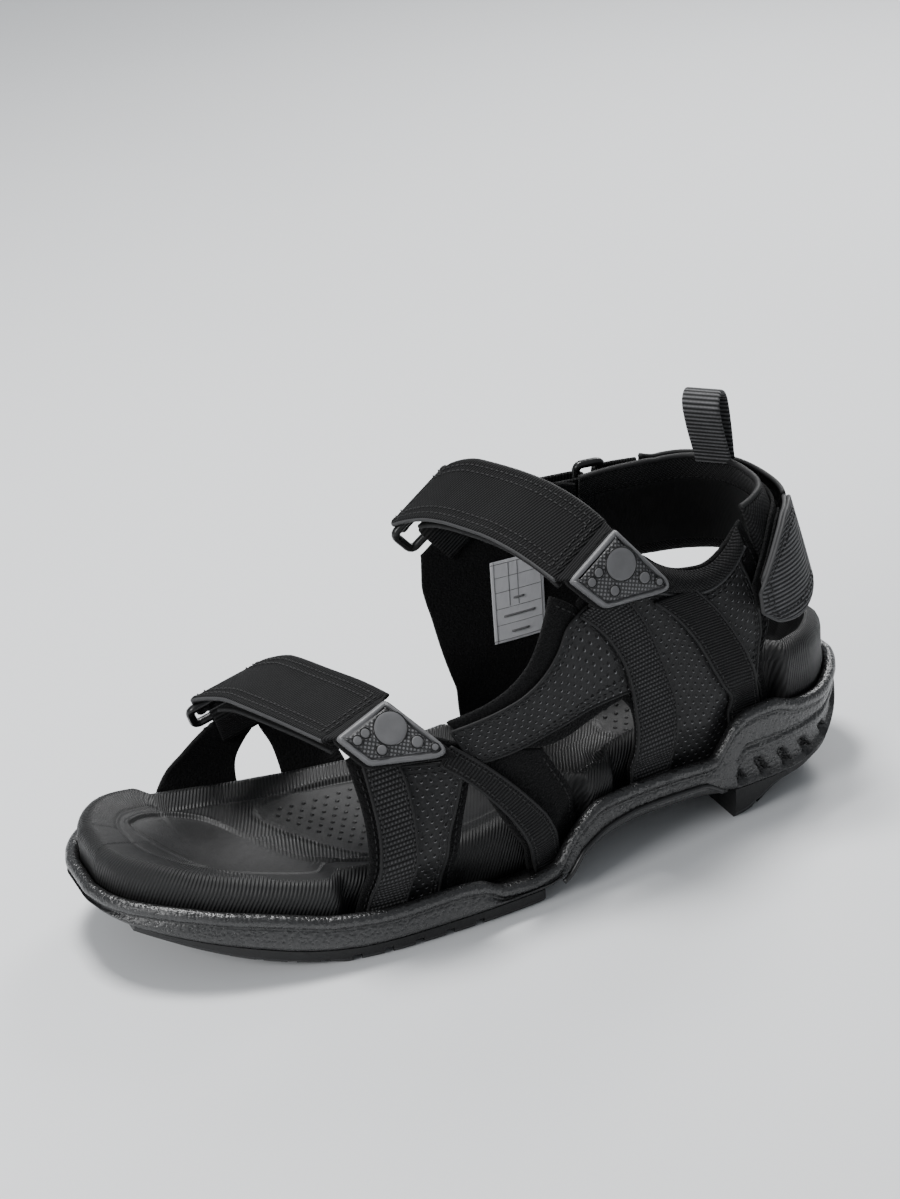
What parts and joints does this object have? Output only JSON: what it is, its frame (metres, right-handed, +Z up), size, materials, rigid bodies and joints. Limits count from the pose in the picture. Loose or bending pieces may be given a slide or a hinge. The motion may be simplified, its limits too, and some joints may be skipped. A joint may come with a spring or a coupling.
{
  "type": "sport sandal",
  "caption": "Open-toe sport sandal with a lugged cup sole, side panels with webbing legs, two fold-back instep straps through side loops, a padded heel collar and a heel strap.",
  "frame": {"origin": "on the ground, at the middle of the sandal's length and width", "axes": "+X from toe to heel, +Y to the inner (medial) side, +Z up"},
  "size_m": [0.296, 0.107, 0.1448],
  "materials": {
    "midsole_foam": "satin, pebbled",
    "footbed_foam": "matt, ribbed",
    "outsole_rubber": "satin",
    "shank_plastic": "gloss edge",
    "lining_fabric": "brushed",
    "perforated_leather": "fine grain, perforated",
    "webbing": "ribbed weave",
    "strap_fabric": "twill weave",
    "hook_and_loop": "pile",
    "tab_rubber": "satin, dotted",
    "tab_webbing": "ribbed weave",
    "ring_plastic": "satin gloss",
    "label_print": "printed satin"
  },
  "bodies": {
    "shoe": {"midsole": "midsole_foam", "footbed": "footbed_foam", "outsole_forefoot": "outsole_rubber", "outsole_heel": "outsole_rubber", "shank_plate": "shank_plastic", "lateral_forefoot_lining": "lining_fabric", "lateral_cross_lining": "lining_fabric", "lateral_band_lining": "lining_fabric", "lateral_quarter_lining": "lining_fabric", "medial_toe_leg_lining": "lining_fabric", "medial_ball_leg_lining": "lining_fabric", "medial_quarter_lining": "lining_fabric", "heel_collar": "lining_fabric", "lateral_forefoot_overlay": "perforated_leather", "lateral_band_overlay": "perforated_leather", "lateral_quarter_overlay": "perforated_leather", "medial_toe_leg_overlay": "perforated_leather", "medial_ball_leg_overlay": "perforated_leather", "medial_quarter_overlay": "perforated_leather", "lateral_front_webbing": "webbing", "lateral_cross_webbing": "webbing", "lateral_quarter_front_webbing": "webbing", "lateral_quarter_rear_webbing": "webbing", "medial_toe_leg_webbing": "webbing", "medial_ball_leg_webbing": "webbing", "medial_quarter_front_webbing": "webbing", "medial_quarter_rear_webbing": "webbing", "front_ring_keeper": "webbing", "ankle_ring_keeper": "webbing", "heel_ring_keeper": "webbing", "front_strap_base": "strap_fabric", "ankle_strap_base": "strap_fabric", "heel_strap_base": "strap_fabric", "heel_strap": "strap_fabric", "heel_strap_fold": "strap_fabric", "front_loop_pad": "hook_and_loop", "ankle_loop_pad": "hook_and_loop", "heel_loop_pad": "hook_and_loop", "heel_ring": "ring_plastic", "size_label": "label_print"},
    "front_ring_link": {"front_ring": "ring_plastic"},
    "front_flap": {"front_strap": "strap_fabric", "front_strap_tab": "tab_rubber", "front_hook_pad": "hook_and_loop"},
    "ankle_ring_link": {"ankle_ring": "ring_plastic"},
    "ankle_flap": {"ankle_strap": "strap_fabric", "ankle_strap_tab": "tab_rubber", "ankle_hook_pad": "hook_and_loop"},
    "heel_flap": {"heel_strap_end": "strap_fabric", "heel_strap_tab": "tab_webbing", "heel_hook_pad": "hook_and_loop"},
    "heel_pull": {"pull_loop": "webbing"}
  },
  "joints": [
    {"name": "front_ring_swivel", "type": "hinge", "parent": "shoe", "child": "front_ring_link", "pos_m": [-0.07311, 0.03806, 0.06223], "axis": [-0.9544, 0.0749, -0.2889], "range_deg": [0, 25]},
    {"name": "front_strap_open", "type": "hinge", "parent": "front_ring_link", "child": "front_flap", "pos_m": [-0.07602, 0.03363, 0.07071], "axis": [-0.9544, 0.0749, -0.2889], "range_deg": [0, 125]},
    {"name": "ankle_ring_swivel", "type": "hinge", "parent": "shoe", "child": "ankle_ring_link", "pos_m": [0.01067, 0.0318, 0.11555], "axis": [-0.7627, 0.0987, -0.6392], "range_deg": [0, 25]},
    {"name": "ankle_strap_open", "type": "hinge", "parent": "ankle_ring_link", "child": "ankle_flap", "pos_m": [0.00428, 0.03222, 0.12323], "axis": [-0.7627, 0.0987, -0.6392], "range_deg": [0, 150]},
    {"name": "heel_strap_peel", "type": "hinge", "parent": "shoe", "child": "heel_flap", "pos_m": [0.1257, -0.02001, 0.098], "axis": [-0.2182, 0.0817, 0.9725], "range_deg": [0, 95]},
    {"name": "pull_loop_flex", "type": "hinge", "parent": "shoe", "child": "heel_pull", "pos_m": [0.11249, 0.01467, 0.1195], "axis": [0.6883, -0.7255, 0], "range_deg": [-30, 30], "stiffness_Nm_per_rad": 0.02}
  ]
}
